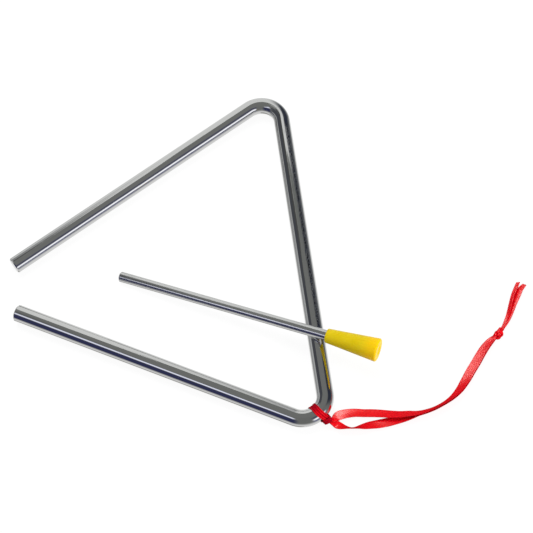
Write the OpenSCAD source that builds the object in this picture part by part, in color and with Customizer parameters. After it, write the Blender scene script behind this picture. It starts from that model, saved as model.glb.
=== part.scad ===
// Triangle instrument with its beater and ribbon loop, laid on a table.
// Millimetres, Z up. The closed side runs along Y on the +X side and the open corner points to -X.
// The table is Z = 0, and the origin is under the middle of the box round the bar and the beater.

/* [Triangle] */
// Length of the closed side over its two bends
side_len = 178; // [120:1:260]
// Thickness of the round bar
bar_d = 8; // [6:0.5:12]
// Radius of the two bends, to the middle of the bar
bend_r = 10.5; // [9:0.5:20]
// Distance between the middles of the two cut ends
ends_apart = 25; // [18:1:50]
// Chamfer round each cut end
bar_chamfer = 0.5; // [0.2:0.1:1]

/* [Beater] */
// Thickness of the steel rod
rod_d = 5; // [3:0.5:7]
// Length of the steel rod, with what the grip holds
rod_len = 125; // [105:1:150]
// Chamfer round the rod's ends
rod_chamfer = 0.4; // [0.1:0.1:0.8]
// Depth of the rod in its grip
rod_seat = 19.5; // [12:0.5:30]
// Interference of the rod in the grip, on the radius
press_fit = 0.05; // [0.01:0.01:0.1]
// Wall of the grip at its narrow end
grip_wall = 0.9; // [0.6:0.1:2]
// How much the grip's radius grows towards its wide end
grip_flare = 2.1; // [0.5:0.1:4]
// Solid end of the grip behind the rod
grip_cap = 6; // [2:0.5:12]
// Rounding of the grip's two rims
grip_round = 0.8; // [0.2:0.1:0.8]
// Width of the round moulding mark in the grip's end
mark_d = 4.4; // [2:0.2:6]
// Depth of the moulding mark
mark_depth = 0.3; // [0.1:0.1:1]

/* [How the beater lies] */
// Turn of the beater from square across the closed side, in degrees
beater_turn = 27.9; // [15:0.1:35]
// Distance from the middle of the closed side to where the beater crosses it
cross_out = 46; // [20:1:50]
// Room between the bar and the grip's narrow end
grip_room = 1.3; // [0.5:0.1:6]
// Least gap between the rod and the bar that it lies on
lying_gap = 0.2; // [0.1:0.05:0.3]

/* [Ribbon] */
// Width of the ribbon where it lies open
ribbon_w = 5; // [4:0.5:6]
// Thickness of the ribbon
ribbon_th = 0.3; // [0.2:0.05:0.4]
// Gap between the two strands where one lies on the other
stack_gap = 0.3; // [0.2:0.05:0.5]
// Width of the gathered ribbon in the hitch round the bar
hitch_w = 1.6; // [1:0.1:1.8]
// Thickness of the gathered ribbon in the hitch
hitch_th = 0.6; // [0.4:0.05:0.8]
// Gap between the gathered ribbon and the bar
hitch_clear = 0.15; // [0.1:0.05:0.3]
// Gap between neighbouring passes of the hitch
hitch_gap = 0.5; // [0.45:0.05:1]
// Break between the hitch and the loop that swings from it
swing_gap = 0.3; // [0.2:0.05:0.5]
// Width of the gathered strands in the knot
knot_w = 0.8; // [0.5:0.1:0.8]
// Thickness of the gathered strands in the knot
knot_th = 0.6; // [0.4:0.05:0.6]

/* [Hidden] */

// The bar is bent to an equal-sided triangle, so every corner of its middle line is 60 degrees
corner = 60;
bend_turn = 180 - corner;
bar_r = bar_d / 2;

// The bar swells a little where it is bent, and its straight stretches end inside the bends
bend_swell = 0.04;
bend_lap = 0.4;
bend_bar_r = bar_r + bend_swell;
tangent_len = bend_r / tan(corner / 2);
apex_side = side_len - 2 * (bend_bar_r + bend_r - tangent_len);
leg_len = apex_side - tangent_len - ends_apart;
bend_y = apex_side / 2 - tangent_len;
side_from_centre = apex_side / 2 * tan(corner / 2);
open_from_centre = apex_side / 2 / cos(corner / 2);

// The hitch passes under the bar and lifts it off the table, pressed flat where it stands
foot_share = 0.1;
bar_z = bend_bar_r + hitch_clear + hitch_th * (1 - foot_share);

// The beater, whose rod crosses on top of the closed side with its tip on the table
rod_r = rod_d / 2;
rod_bare = rod_len - rod_seat;
grip_len = rod_seat + grip_cap;
narrow_r = rod_r + grip_wall;
wide_r = narrow_r + grip_flare;
cross_at = rod_bare - grip_room - bar_r / cos(beater_turn);
cross_dist = bar_r + rod_r + lying_gap;

// Share of the crossing distance that counts as height when the rod leans by this tilt
function cross_share(tilt) =
    let (level = cos(tilt) * cos(beater_turn))
    level / norm([sin(tilt), level]);

// The tilt at which the rod's chamfered tip touches the table, found by repeated correction
function lying_tilt(tilt, rounds) =
    rounds < 1 ? tilt :
    lying_tilt(asin((bar_z + cross_dist * cross_share(tilt) - rod_r * cos(tilt))
                    / (cross_at - rod_chamfer)), rounds - 1);

tilt_rounds = 12;
beater_tilt = lying_tilt(0, tilt_rounds);
beater_dir = [cos(beater_tilt) * cos(beater_turn), -cos(beater_tilt) * sin(beater_turn),
              sin(beater_tilt)];
cross_up = [-beater_dir.z, 0, beater_dir.x] / norm([beater_dir.z, beater_dir.x]);

// The origin's place: the middle of the box round the bar and the beater
leg_end_x = -open_from_centre + ends_apart * cos(corner / 2);
reach_left = leg_end_x - (bar_r - bar_chamfer) * sin(corner / 2);
crossing = [side_from_centre, -cross_out, bar_z] + cross_up * cross_dist;
beater_len = rod_bare + grip_len;
reach_right = crossing.x + (beater_len - cross_at - grip_round) * beater_dir.x
            + (wide_r - grip_round) * norm([beater_dir.y, beater_dir.z]) + grip_round;
shift_x = -(reach_left + reach_right) / 2;
side_x = side_from_centre + shift_x;
beater_tip = crossing + [shift_x, 0, 0] - cross_at * beater_dir;

// Facets round the bar, the rod and the grip, and along the rounded rims
bar_facets = 48;
rod_facets = 36;
rim_steps = 5;
overrun = 1;

bar_colour = [0.78, 0.79, 0.81];
grip_colour = [0.93, 0.79, 0.12];
ribbon_colour = [0.86, 0.07, 0.11];

// Unit vector
function unit(v) = v / norm(v);

// Part of a vector square to a direction, as a unit vector
function square_to(v, dir) = unit(v - (v * dir) * dir);

// Points on an arc
function arc(centre, radius, from, to, steps) =
    [for (i = [0 : steps])
        let (a = from + (to - from) * i / steps)
        centre + radius * [cos(a), sin(a)]];

// A smooth curve through hand-placed rows, with so many rows added between each pair
function smooth(rows, per) =
    let (last = len(rows) - 1)
    concat([for (i = [0 : last - 1], k = [0 : per - 1])
        let (t = k / per,
             a = rows[max(i - 1, 0)],
             b = rows[i],
             c = rows[i + 1],
             d = rows[min(i + 2, last)])
        (2 * b + (c - a) * t + (2 * a - 5 * b + 4 * c - d) * t * t
         + (3 * b - a - 3 * c + d) * t * t * t) / 2], [rows[last]]);

// The direction of a path at a row, from the rows on both sides of it
function heading(rings, i) =
    unit(rings[min(i + 1, len(rings) - 1)][0] - rings[max(i - 1, 0)][0]);

// Outline of the flat ribbon or the gathered one: a bar with cut corners
corner_share = 0.6;
function section(w, th) =
    let (a = w / 2, b = th / 2, c = b * corner_share)
    [[a, b - c], [a - c, b], [c - a, b], [-a, b - c],
     [-a, c - b], [c - a, -b], [a - c, -b], [a, c - b]];
sides = 8;

// Corners of one ring: [middle, outward direction, width, thickness]
function ring_points(rings, i) =
    let (ring = rings[i], dir = heading(rings, i), out = square_to(ring[1], dir), across = cross(out, dir))
    [for (p = section(ring[2], ring[3])) ring[0] + across * p.x + out * p.y];

// One closed tube through all the rings, whose upper and lower faces are parted the same way
module swept(rings) {
    last = len(rings) - 1;
    points = [for (i = [0 : last]) each ring_points(rings, i)];
    skin = [for (i = [0 : last - 1], j = [0 : sides - 1])
        let (k = (j + 1) % sides, a = i * sides, b = a + sides)
        each j < sides / 2 ? [[a + j, b + j, b + k], [a + j, b + k, a + k]] :
                             [[a + j, b + j, a + k], [b + j, b + k, a + k]]];
    start_cap = [for (j = [1 : sides - 2]) [0, j, j + 1]];
    end_cap = [for (j = [1 : sides - 2]) [last * sides, last * sides + j + 1, last * sides + j]];
    polyhedron(points, concat(skin, start_cap, end_cap));
}

// Least distance between rings that are further apart along the tube than the first value
function self_gap(rings, along) =
    let (last = len(rings) - 1, sets = [for (i = [0 : last]) ring_points(rings, i)])
    min([for (i = [0 : last], j = [i + 1 : 1 : last])
        if (along_path(rings, i, j) > along && norm(rings[j][0] - rings[i][0]) < along)
            min([for (p = sets[i], q = sets[j]) norm(p - q)])]);
function along_path(rings, i, j) =
    let (steps = [for (k = [i : 1 : j - 1]) norm(rings[k + 1][0] - rings[k][0])])
    steps * [for (s = steps) 1];

// The hitch round the middle of the near bend, in the bend's own directions:
// outward from the triangle, along the bar towards the closed side, and up from the bar's middle
bend_mid = [side_x - bend_r + bend_r * cos(bend_turn / 2), -bend_y - bend_r * sin(bend_turn / 2), bar_z];
outward = [cos(bend_turn / 2), -sin(bend_turn / 2), 0];
along_bar = [sin(bend_turn / 2), cos(bend_turn / 2), 0];

// How far the passes lean along the bar, which grows from over the bar's middle outwards
lean_slope = 0.45;
lean_angle = atan(lean_slope);
lean_full_share = 0.65;
lean_full = bar_r * lean_full_share;
function lean(out) =
    out <= 0 ? 0 :
    out <= lean_full ? lean_slope * out * out / (2 * lean_full) :
    lean_slope * (out - lean_full / 2);

// A place in the hitch, where the first value is the distance from the bar's curved middle line,
// and a direction at that place
function at_bend(p) =
    let (t = p.y + lean(p.x), out = sqrt(pow(p.x + bend_r, 2) - t * t) - bend_r)
    bend_mid + outward * out + along_bar * t + [0, 0, p.z];
function turned(p, v) =
    let (s = (p.y + lean(p.x)) / (p.x + bend_r), c = sqrt(1 - s * s))
    outward * (v.x * c - v.y * s) + along_bar * (v.x * s + v.y * c) + [0, 0, v.z];

// Each strand leaves the bar on a straight line that falls outwards from the top of the wrap
wrap_r = bend_bar_r + hitch_clear + hitch_th / 2;
pass_t = (hitch_w + hitch_gap) / 2 / cos(lean_angle);
exit_spread_share = 1.15;
exit_t = pass_t * exit_spread_share;
exit_reach_share = 1.15;
exit_out = wrap_r + exit_reach_share * (hitch_w + hitch_th);
exit_up = hitch_th / 2;
leave_angle = atan2(exit_up, exit_out) + acos(wrap_r / norm([exit_out, exit_up]));
strand_fall = leave_angle - 90;

// The bight goes over both strands about halfway between the bar and the exit
bight_share = 0.52;
bight_out = exit_out - (exit_out - wrap_r) * bight_share;
bight_up = exit_up + (bight_out - exit_out) * tan(strand_fall);
bight_room_share = 1.4;
bight_half = (exit_t + (hitch_w + hitch_th) / 2 + hitch_gap * bight_room_share) / cos(lean_angle);
bight_rise = hitch_th + hitch_gap * bight_room_share;
bight_square = 0.65;
bight_from = -15;
bight_top = 90;

// The passes spread between these angles round the bar, and the wrap ends at the third
spread_from = 130;
spread_over = 150;
wrap_end = 318;
low_share = 0.9;
wrap_low_t = bight_half * low_share;
rise_from_share = 0.6;
rise_to_share = 0.25;

function pass_at(a) =
    let (s = min(max((a - spread_from) / spread_over, 0), 1), e = s * s * (3 - 2 * s))
    pass_t + (wrap_low_t - pass_t) * e;
function wrap_ring(side, a) =
    let (p = [wrap_r * cos(a), side * pass_at(a), wrap_r * sin(a)])
    [at_bend(p), turned(p, [cos(a), 0, sin(a)])];

// A ring on a strand's straight line, from 0 at the wrap to 1 at the exit
function line_ring(side, s) =
    let (from = wrap_r * [cos(leave_angle), sin(leave_angle)], to = [exit_out, exit_up],
         q = from + (to - from) * s,
         p = [q.x, side * (pass_t + (exit_t - pass_t) * s), q.y])
    [at_bend(p), turned(p, [cos(leave_angle), 0, sin(leave_angle)])];
line_len = norm(line_ring(1, 1)[0] - line_ring(1, 0)[0]);

function bight_place(side, a) =
    let (c = pow(abs(cos(a)), bight_square), s = sign(a) * pow(abs(sin(a)), bight_square))
    [bight_out - bight_rise * s * sin(strand_fall), side * bight_half * c,
     bight_up + bight_rise * s * cos(strand_fall)];
function bight_ring(side, a) =
    let (p = bight_place(side, a))
    [at_bend(p), turned(p, [-sin(a) * sin(strand_fall), side * cos(a), sin(a) * cos(strand_fall)])];

// From under the bar to the bight's side, on a cubic between the two
function rise_ring(side, s) =
    let (p0 = [wrap_r * cos(wrap_end), side * wrap_low_t, wrap_r * sin(wrap_end)],
         p3 = bight_place(side, bight_from),
         reach = norm(p3 - p0),
         p1 = p0 + reach * rise_from_share * [-sin(wrap_end), 0, cos(wrap_end)],
         p2 = p3 - reach * rise_to_share * [-sin(strand_fall), 0, cos(strand_fall)],
         r = 1 - s, e = s * s,
         p = r * r * r * p0 + 3 * r * r * s * p1 + 3 * r * s * s * p2 + s * s * s * p3)
    [at_bend(p), turned(p, unit((1 - e) * [cos(wrap_end), 0, sin(wrap_end)] + e * [0, side, 0]))];

wrap_steps = 18;
line_steps = 5;
rise_steps = 6;
bight_steps = 6;
function half_hitch(side) = concat(
    [for (i = [0 : line_steps - 1]) line_ring(side, 1 - i / line_steps)],
    [for (i = [0 : wrap_steps]) wrap_ring(side, leave_angle + (wrap_end - leave_angle) * i / wrap_steps)],
    [for (i = [1 : rise_steps - 1]) rise_ring(side, i / rise_steps)],
    [for (i = [0 : bight_steps - 1])
        bight_ring(side, bight_from + (bight_top - bight_from) * i / bight_steps)]);
function reversed(rows) = [for (i = [len(rows) - 1 : -1 : 0]) rows[i]];
hitch_rings = [for (r = concat(half_hitch(1), [bight_ring(1, bight_top)], reversed(half_hitch(-1))))
    [r[0], r[1], hitch_w, hitch_th]];

// Where the two strands leave the hitch, on the table under the exit
exit_mid = at_bend([exit_out, 0, exit_up]);
exit_foot = [exit_mid.x, exit_mid.y, 0];

// Ribbon routes, from the exit: along X, along Y, lift of the lowest edge over the table,
// roll in degrees (less than zero with the near edge raised), share of the ribbon's width,
// and place in the stack
far_route = [
    [2.7, 0.3, 3.3, -8, 0.4, 0], [3.9, 0.9, 2.6, -14, 0.6, 0], [5.5, 2.1, 1.7, -20, 0.8, 0],
    [8.2, 3.6, 0.6, -24, 0.94, 0], [12, 3.8, 0, -24, 1, 0], [16, 3.2, 0, -24, 1, 0],
    [20, 2.6, 0, -24, 1, 0], [24, 1.8, 0, -26, 1, 0], [28.2, 1, 0.1, -29, 1, 0],
    [32.2, 0.2, 0.2, -34, 1, 0.3], [36.2, -0.4, 0.3, -40, 1, 0.8]];
near_route = [
    [0.6, -1.4, 3.5, -16, 0.4, 0], [1.8, -1.7, 2.6, -30, 0.6, 0], [3.6, -2.1, 1.4, -44, 0.84, 0],
    [5.8, -2.6, 0.4, -60, 0.96, 0], [8.2, -3.4, 0, -76, 1, 0], [11, -3.6, 0, -62, 1, 0],
    [14, -3.4, 0, -44, 1, 0], [17.8, -3, 0, -30, 1, 0], [22, -2.8, 0, -22, 1, 0],
    [26.2, -2.4, 0, -20, 1, 0], [30.4, -1.8, 0, -24, 1, 0], [34.2, -1.4, 0, -32, 1, 0],
    [37.2, -1, 0, -41, 1, 0]];
shared_route = [
    [40.2, -0.6, 0, -50, 1, 0], [44.4, -0.4, 0, -60, 1, 0], [48.8, 0.4, 0, -68, 1, 0],
    [53.2, 2, 0, -70, 1, 0], [57.4, 4.2, 0, -60, 1, 0], [61.4, 7.4, 0, -46, 1, 0],
    [65, 11.6, 0, -34, 1, 0], [68.4, 16.2, 0, -29, 1, 0], [71.4, 20.2, 0, -27, 1, 0],
    [74.4, 24, 0, -28, 1, 0], [77.2, 27.2, 0.1, -28, 0.92, 0], [80, 29.8, 0.3, -26, 0.64, 0],
    [82.4, 31.6, 0.8, -20, 0.16, 0]];
near_tail_route = [
    [87.2, 34.9, 0.8, -20, 0.16, 0], [89, 37.8, 0.4, -40, 0.64, 0], [91.4, 41, 0.1, -55, 0.88, 0],
    [93.6, 44.4, 0, -60, 1, 0], [95.6, 48, 0, -62, 1, 0], [97.2, 51.2, 0, -60, 1, 0],
    [99.2, 54.2, 0, -58, 1, 0], [101.2, 56.4, 0, -52, 1, 0]];
far_tail_route = [
    [87.2, 34.9, 0.8, -20, 0.16, 1], [88.8, 37.8, 0.5, -46, 0.64, 0.7], [90.6, 41, 0.3, -60, 0.88, 0.5],
    [92.4, 44.6, 0.1, -66, 1, 0.3], [94, 48.4, 0, -68, 1, 0.2], [95.6, 52, 0, -66, 1, 0],
    [97.4, 55.4, 0, -60, 1, 0], [99.4, 58, 0, -54, 1, 0]];

// Rings of a free stretch: its lowest edge lies on the table unless its row lifts it
function lie(route) =
    let (mids = [for (r = route) exit_foot + [r[0], r[1],
            r[2] + ribbon_w * r[4] / 2 * abs(sin(r[3])) + ribbon_th / 2 * abs(cos(r[3]))]],
         last = len(route) - 1)
    [for (i = [0 : last])
        let (r = route[i],
             dir = unit(mids[min(i + 1, last)] - mids[max(i - 1, 0)]),
             left = unit(cross([0, 0, 1], dir)),
             top = cross(dir, left),
             out = top * cos(r[3]) - left * sin(r[3]))
        [mids[i] + out * r[5] * (ribbon_th + stack_gap), out, ribbon_w * r[4], ribbon_th]];

// The last rows of the shared stretch carry one strand on the other
function on_top(route) = [for (r = route) [r[0], r[1], r[2], r[3], r[4], 1]];

// Each strand begins past the swing's break, on the straight line that its end of the hitch lies on
lead_share = 0.15;
function strand_start(side) =
    [for (s = [0, lead_share])
        let (ring = line_ring(side, 1 + swing_gap / line_len + s))
        [ring[0], ring[1], hitch_w, ribbon_th]];
far_rings = concat(strand_start(1), lie(concat(far_route, on_top(shared_route))));
near_rings = concat(strand_start(-1), lie(concat(near_route, shared_route)));

// The overhand knot: places of the gathered strands along, left of and above the ribbon's line
knot_key = [
    [-0.2, 0, 0], [0.8, 0, 0.4], [1.6, -0.7, 0.8], [2.9, -2.4, -0.9], [4, -3.5, -0.5], [5.1, -3.1, 0],
    [5.3, -2, 0.5], [4.2, -0.7, 0.8], [2.9, 0.1, 0], [1.6, -0.7, -0.8], [0.5, -2, -0.5], [0.7, -3.1, 0],
    [1.8, -3.5, 0.5], [2.9, -2.4, 0.9], [4.2, -0.7, -0.8], [5, 0, -0.4], [6, 0, 0]];
knot_per = 4;

module triangle_bar() {
    color(bar_colour) translate([shift_x, 0, bar_z]) {
        // Closed side
        translate([side_from_centre, -bend_y - bend_lap, 0]) rotate([-90, 0, 0])
            cylinder(h = 2 * (bend_y + bend_lap), r = bar_r, $fn = bar_facets);
        for (side = [0, 1]) mirror([0, side, 0]) translate([side_from_centre - bend_r, bend_y, 0]) {
            rotate_extrude(angle = bend_turn, $fn = bar_facets)
                translate([bend_r, 0]) circle(r = bend_bar_r, $fn = bar_facets);
            // Open side, from inside the bend to the cut end
            rotate([0, 0, bend_turn]) translate([bend_r, -bend_lap, 0]) rotate([-90, 0, 0])
                round_bar(leg_len + bend_lap, bar_r, 0, bar_chamfer, bar_facets);
        }
    }
}

// A round bar along Z with a chamfer at each end
module round_bar(length, radius, start_chamfer, end_chamfer, facets) {
    rotate_extrude($fn = facets) polygon([
        [0, 0], [radius - start_chamfer, 0], if (start_chamfer > 0) [radius, start_chamfer],
        [radius, length - end_chamfer], [radius - end_chamfer, length], [0, length]]);
}

// The beater's own directions: Z runs from the striking tip to the grip
module along_beater() {
    translate(beater_tip) rotate([0, 90 - beater_tilt, -beater_turn]) children();
}

module beater_rod() {
    color(bar_colour) along_beater() round_bar(rod_len, rod_r, rod_chamfer, rod_chamfer, rod_facets);
}

module beater_grip() {
    color(grip_colour) along_beater() translate([0, 0, rod_bare]) difference() {
        rotate_extrude($fn = rod_facets) polygon(concat(
            [[0, 0]],
            arc([narrow_r - grip_round, grip_round], grip_round, -90, 0, rim_steps),
            arc([wide_r - grip_round, grip_len - grip_round], grip_round, 0, 90, rim_steps),
            [[0, grip_len]]));
        translate([0, 0, -overrun])
            cylinder(h = rod_seat + overrun, r = rod_r - press_fit, $fn = rod_facets);
        translate([0, 0, grip_len - mark_depth])
            cylinder(h = mark_depth + overrun, d = mark_d, $fn = rod_facets);
    }
}

module ribbon_hitch() {
    echo(hitch_least_gap = self_gap(hitch_rings, 3 * hitch_w));
    color(ribbon_colour) difference() {
        swept(hitch_rings);
        translate([bend_mid.x - bend_r, bend_mid.y - bend_r, -overrun])
            cube([2 * bend_r, 2 * bend_r, overrun]);
    }
}

module ribbon_far_strand() {
    color(ribbon_colour) swept(far_rings);
}

module ribbon_near_strand() {
    color(ribbon_colour) swept(near_rings);
}

module ribbon_knot() {
    from = near_rings[len(near_rings) - 1][0];
    to = lie(near_tail_route)[0][0];
    dir = unit(to - from);
    left = unit(cross([0, 0, 1], dir));
    top = cross(dir, left);
    rings = [for (p = smooth(knot_key, knot_per))
        [from + dir * p.x + left * p.y + top * (p.z + (ribbon_th + stack_gap) / 2), top, knot_w, knot_th]];
    echo(knot_least_gap = self_gap(rings, 3 * knot_w), knot_span = norm(to - from));
    color(ribbon_colour) swept(rings);
}

module ribbon_far_tail() {
    color(ribbon_colour) swept(lie(far_tail_route));
}

module ribbon_near_tail() {
    color(ribbon_colour) swept(lie(near_tail_route));
}

triangle_bar();
beater_rod();
beater_grip();
ribbon_hitch();
ribbon_far_strand();
ribbon_near_strand();
ribbon_knot();
ribbon_far_tail();
ribbon_near_tail();
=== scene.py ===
import bpy
import math
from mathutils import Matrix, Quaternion, Vector


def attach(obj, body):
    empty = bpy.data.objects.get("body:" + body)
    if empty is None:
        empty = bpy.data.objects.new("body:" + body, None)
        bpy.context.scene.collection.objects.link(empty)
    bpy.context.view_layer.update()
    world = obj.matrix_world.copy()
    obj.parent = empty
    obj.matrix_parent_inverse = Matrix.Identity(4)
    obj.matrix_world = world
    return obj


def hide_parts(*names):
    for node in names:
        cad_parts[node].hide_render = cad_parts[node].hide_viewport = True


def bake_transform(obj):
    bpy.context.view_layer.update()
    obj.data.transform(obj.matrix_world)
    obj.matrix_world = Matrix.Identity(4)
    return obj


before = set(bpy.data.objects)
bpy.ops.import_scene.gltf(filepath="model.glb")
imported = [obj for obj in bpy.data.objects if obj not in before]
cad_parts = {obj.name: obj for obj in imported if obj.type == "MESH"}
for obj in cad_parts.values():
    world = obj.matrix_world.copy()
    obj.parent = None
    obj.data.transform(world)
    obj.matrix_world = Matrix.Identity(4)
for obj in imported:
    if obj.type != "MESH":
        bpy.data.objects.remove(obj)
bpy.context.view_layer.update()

# Triangle instrument with its beater and ribbon loop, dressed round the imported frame.
# Ribbon sizes are in millimetres as on the drawing, and mm turns them into metres.
mm = 0.001
bpy.ops.object.select_all(action="DESELECT")
scene = bpy.context.scene
scene.view_settings.view_transform = "Standard"

camera = {
    "target": (0.0375, -0.00574, 0.00473),
    "distance": 0.70913,
    "azimuth": -2.7797,      # degrees round the triangle, from the -Y side
    "elevation": 63.3375,
    "roll": 5.0995,
    "lens": 100,
    "seesTo": 20,
}


def placeCamera():
    a, e = math.radians(camera["azimuth"]), math.radians(camera["elevation"])
    back = Vector((math.sin(a) * math.cos(e), -math.cos(a) * math.cos(e), math.sin(e)))
    turn = (-back).to_track_quat("-Z", "Y") @ Quaternion((0, 0, 1), -math.radians(camera["roll"]))
    bpy.ops.object.camera_add(location=Vector(camera["target"]) + back * camera["distance"],
                              rotation=turn.to_euler())
    scene.camera = bpy.context.object
    scene.camera.data.lens = camera["lens"]
    scene.camera.data.clip_end = camera["seesTo"]


placeCamera()
print("camera placed")


# Ribbon: the hitch round the bend, in the bend's own directions
bend = {
    "sideX": 55.6737,        # middle of the closed side
    "y": 74.46,              # where the bends begin
    "radius": 10.5,
    "turn": 120,             # degrees that each bend turns
    "barRadius": 4.04,
    "z": 4.73,               # height of the bar's middle
}
hitch = {
    "width": 1.80,           # each of the two passes over the bar, which lie side by side
    "thick": 0.27,
    "clear": 0.01,
    "leanSlope": 0.8,        # how far the band runs aside as it leaves the bar
    "leanFull": 5.0,
    "passT": 0.88,
    "shift": 0.25,           # the whole band sits a little towards the closed side
    "exitT": 0.66,           # the strands are squeezed together in the bight
    "exitWidth": 1.30,
    "exitThick": 0.66,
    "exitOut": 6.5,
    "exitUp": -1.3,          # below the middle of the bar
    "exitRows": 6,           # rows over which the squeeze ends
    "bightOut": 5.6,
    "bightHalf": 1.62,
    "bightRise": 0.86,
    "bightWidth": 2.2,
    "bightThick": 0.74,
    "bightShift": -0.6,      # its fuller side shows below the strands
    "bightSquare": 0.7,
    "bightFrom": -15,
    "bightRow": 24,          # the row from an end where the band starts to widen into the bight
    "bightOver": 5,
    "spreadFrom": 150,       # degrees round the bar
    "spreadOver": 130,
    "wrapEnd": 318,
    "lowShare": 0.94,
    "lowFrom": 200,          # the band runs aside under the bar too
    "lowShift": 1.1,
    "riseFrom": 0.6,
    "riseTo": 0.25,
    "lineSteps": 5,
    "wrapSteps": 18,
    "riseSteps": 6,
    "bightSteps": 6,
    "perRow": 4,             # rings between two rows
    "pleats": 2,
    "pleatDepth": 0.13,
    "paintedShades": (0.19, 0.31, 0.16, 0.76),      # painted shade: the band is painted darker from beyond the top of the bar round to the bight
}
bendTurn = math.radians(bend["turn"])
half = bendTurn / 2
outward = Vector((math.cos(half), -math.sin(half), 0))
alongBar = Vector((math.sin(half), math.cos(half), 0))
bendMid = Vector((bend["sideX"] - bend["radius"] + bend["radius"] * math.cos(half),
                  -bend["y"] - bend["radius"] * math.sin(half), bend["z"]))


def sind(a):
    return math.sin(math.radians(a))


def cosd(a):
    return math.cos(math.radians(a))


def progress(value, start, reach):
    return min(max((value - start) / reach, 0), 1)


def eased(t):
    return t * t * (3 - 2 * t)


def lean(out):
    slope, full = hitch["leanSlope"], hitch["leanFull"]
    if out <= 0:
        return 0
    return slope * out * out / (2 * full) if out <= full else slope * (out - full / 2)


def atBend(p):
    t = p[1] + lean(p[0]) + hitch["shift"]
    out = math.sqrt((p[0] + bend["radius"]) ** 2 - t * t) - bend["radius"]
    return bendMid + outward * out + alongBar * t + Vector((0, 0, p[2]))


def turned(p, v):
    s = (p[1] + lean(p[0]) + hitch["shift"]) / (p[0] + bend["radius"])
    c = math.sqrt(1 - s * s)
    return outward * (v[0] * c - v[1] * s) + alongBar * (v[0] * s + v[1] * c) + Vector((0, 0, v[2]))


wrapR = bend["barRadius"] + hitch["clear"] + hitch["thick"] / 2
passT, exitT, exitOut, exitUp = (hitch[k] for k in ("passT", "exitT", "exitOut", "exitUp"))
bightOut, bightHalf, bightRise = (hitch[k] for k in ("bightOut", "bightHalf", "bightRise"))
leaveAngle = math.degrees(math.atan2(exitUp, exitOut) + math.acos(wrapR / math.hypot(exitOut, exitUp)))
strandFall = leaveAngle - 90
bightUp = exitUp + (bightOut - exitOut) * math.tan(math.radians(strandFall))
wrapLowT = bightHalf * hitch["lowShare"]


def wrapRow(side, a):
    spread = eased(progress(a, hitch["spreadFrom"], hitch["spreadOver"]))
    aside = eased(progress(a, hitch["lowFrom"], hitch["wrapEnd"] - hitch["lowFrom"])) * hitch["lowShift"]
    t = side * (passT + (wrapLowT - passT) * spread) + aside
    p = (wrapR * cosd(a), t, wrapR * sind(a))
    return atBend(p), turned(p, (cosd(a), 0, sind(a)))


def lineRow(side, s):
    leave = (wrapR * cosd(leaveAngle), wrapR * sind(leaveAngle))
    out, up = (a + (b - a) * s for a, b in zip(leave, (exitOut, exitUp)))
    p = (out, side * (passT + (exitT - passT) * s), up)
    return atBend(p), turned(p, (cosd(leaveAngle), 0, sind(leaveAngle)))


def bightPlace(side, a):
    c = abs(cosd(a)) ** hitch["bightSquare"]
    s = math.copysign(abs(sind(a)) ** hitch["bightSquare"], sind(a))
    return Vector((bightOut - bightRise * s * sind(strandFall), side * bightHalf * c + hitch["bightShift"],
                   bightUp + bightRise * s * cosd(strandFall)))


def bightRow(side, a):
    p = bightPlace(side, a)
    return atBend(p), turned(p, (-sind(a) * sind(strandFall), side * cosd(a), sind(a) * cosd(strandFall)))


def riseRow(side, s):
    end = hitch["wrapEnd"]
    p0 = Vector((wrapR * cosd(end), side * wrapLowT + hitch["lowShift"], wrapR * sind(end)))
    p3 = bightPlace(side, hitch["bightFrom"])
    reach = (p3 - p0).length
    p1 = p0 + Vector((-sind(end), 0, cosd(end))) * reach * hitch["riseFrom"]
    p2 = p3 - Vector((-sind(strandFall), 0, cosd(strandFall))) * reach * hitch["riseTo"]
    r, e = 1 - s, s * s
    p = p0 * r ** 3 + p1 * 3 * r * r * s + p2 * 3 * r * s * s + p3 * s ** 3
    v = Vector((cosd(end) * (1 - e), side * e, sind(end) * (1 - e))).normalized()
    return atBend(p), turned(p, v)


# From an exit over the bar, round it, up behind the strands and to the middle of the bight
def halfHitch(side):
    lines, wraps, rises, bights = (hitch[k] for k in ("lineSteps", "wrapSteps", "riseSteps", "bightSteps"))
    wrapSpan, bightSpan = hitch["wrapEnd"] - leaveAngle, 90 - hitch["bightFrom"]
    rows = [lineRow(side, 1 - i / lines) for i in range(lines)]
    rows += [wrapRow(side, leaveAngle + wrapSpan * i / wraps) for i in range(wraps + 1)]
    rows += [riseRow(side, i / rises) for i in range(1, rises)]
    rows += [bightRow(side, hitch["bightFrom"] + bightSpan * i / bights) for i in range(bights)]
    return rows


# Ribbon: the loop's two strands and tails
ribbon = {
    "width": 5.0,
    "thick": 0.3,
    "stackGap": 0.3,
    "gathered": 0.62,        # thickness where the ribbon is drawn together
    "openFrom": 0.9,         # share of the width above which it lies open
    "gatherOver": 0.6,
    "startInside": (0.3, 0.1),       # shares of the way from the exit back into the hitch
    "startWidth": 0.96,
    "startThick": 0.94,
    "inKnot": (0.33, 0.66),
    "across": 14,            # faces across the ribbon
    "perPleat": 5,           # more faces for each pleat
    "perRow": 7,             # rings between two rows of a route
    "pleats": 3,
    "pleatDepth": 0.17,
    "pleatSharp": 0.55,
    "pleatDrift": 0.12,      # the pleats wander across along the run
    "pleatMiddle": 1.3,
    "nearPhase": 1.1,
    "underShare": 0.4,       # how much of a pleat shows on the underside
    "cup": 0.12,             # how far an open stretch hollows across
    "thinEdge": 0.45,
    "edgeCurve": 6,
    "smoothUnder": 50,
}
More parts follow.
